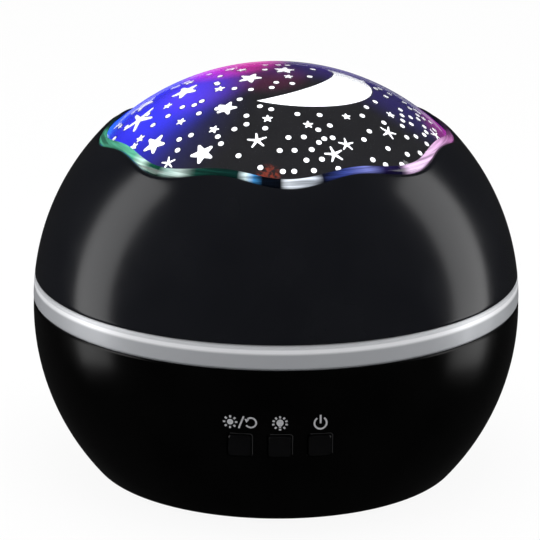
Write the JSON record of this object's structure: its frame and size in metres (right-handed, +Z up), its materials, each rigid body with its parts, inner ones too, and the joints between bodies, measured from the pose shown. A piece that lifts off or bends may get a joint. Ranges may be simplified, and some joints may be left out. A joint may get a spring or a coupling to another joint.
{
  "type": "star night light projector",
  "caption": "Round table night light: a black base with buttons, a silver band and a black cover, whose wavy opening shows a star-printed dome that a motor turns over coloured LEDs.",
  "frame": {"origin": "on the table, below the middle of the globe, at the underside of the rubber feet", "axes": "+Z up, -Y towards the user, the side with the buttons; +X to the user's right"},
  "size_m": [0.13, 0.13, 0.1099],
  "materials": {
    "black_shell": "polished black ABS",
    "silver_trim": "satin silver lacquer on ABS",
    "clear_plastic": "clear polished plastic",
    "star_plastic": "smoke-tinted clear plastic",
    "star_print": "dark printed skin with clear stars",
    "dark_plastic": "fine textured dark ABS",
    "white_plastic": "natural white moulded plastic",
    "rubber_foot": "matt rubber",
    "steel": "zinc-plated steel",
    "motor_case": "plated motor case, hollow inside",
    "cell_case": "plain foil sleeve",
    "circuit_board": "green circuit board",
    "led_clear": "water-clear lens",
    "led_red_lens": "red-tinted lens",
    "led_green_lens": "green-tinted lens",
    "led_blue_lens": "blue-tinted lens",
    "wire_cover": "soft coloured insulation"
  },
  "bodies": {
    "base": {"base_shell": "black_shell", "screw_posts": "black_shell", "button_guide": "black_shell", "usb_well": "black_shell", "bottom_cover": "dark_plastic", "rubber_feet": "rubber_foot", "base_screws": "steel", "batteries": "cell_case", "battery_springs": "steel", "battery_contacts": "steel", "silver_band": "silver_trim", "chassis_deck": "dark_plastic", "deck_screws": "steel", "drive_motor": "motor_case", "motor_screws": "steel", "led_board": "circuit_board", "led_board_screws": "steel", "led_white": "led_clear", "led_red": "led_red_lens", "led_green": "led_green_lens", "led_blue": "led_blue_lens", "button_board": "circuit_board", "board_screws": "steel", "tact_switches": "dark_plastic", "controller_chip": "dark_plastic", "wire_connectors": "white_plastic", "usb_board": "circuit_board", "usb_board_screws": "steel", "usb_socket": "steel", "battery_wires": "wire_cover", "motor_wires": "wire_cover", "led_wires": "wire_cover", "usb_wires": "wire_cover"},
    "cover": {"upper_cover": "black_shell", "clear_dome": "clear_plastic", "wave_trim": "clear_plastic"},
    "turning_dome": {"turntable": "white_plastic", "star_dome": "star_plastic", "star_film": "star_print"},
    "pinion": {"drive_pinion": "white_plastic", "motor_shaft": "steel"},
    "spin_key": {"spin_button": "black_shell", "spin_plunger": "white_plastic"},
    "lamp_key": {"lamp_button": "black_shell", "lamp_plunger": "white_plastic"},
    "power_key": {"power_button": "black_shell", "power_plunger": "white_plastic"},
    "battery_hatch": {"battery_door": "dark_plastic", "door_screw": "steel"}
  },
  "joints": [
    {"name": "cover_lift", "type": "slide", "parent": "base", "child": "cover", "axis": [0, 0, 1], "range_m": [0, 0.065]},
    {"name": "dome_spin", "type": "hinge", "parent": "base", "child": "turning_dome", "pos_m": [0, 0, 0.05], "axis": [0, 0, 1], "continuous": true},
    {"name": "pinion_spin", "type": "hinge", "parent": "base", "child": "pinion", "pos_m": [0, 0.039, 0.05], "axis": [0, 0, 1], "continuous": true},
    {"name": "spin_press", "type": "slide", "parent": "base", "child": "spin_key", "axis": [0, 1, 0], "range_m": [0, 0.0005], "stiffness_N_per_m": 1000},
    {"name": "lamp_press", "type": "slide", "parent": "base", "child": "lamp_key", "axis": [0, 1, 0], "range_m": [0, 0.0005], "stiffness_N_per_m": 1000},
    {"name": "power_press", "type": "slide", "parent": "base", "child": "power_key", "axis": [0, 1, 0], "range_m": [0, 0.0005], "stiffness_N_per_m": 1000},
    {"name": "battery_door_open", "type": "hinge", "parent": "base", "child": "battery_hatch", "pos_m": [0, 0.0255, 0.0028], "axis": [1, 0, 0], "range_deg": [0, 85]}
  ],
  "couplings": [
    {"joint": "pinion_spin", "follows": "dome_spin", "ratio": 7.5}
  ]
}
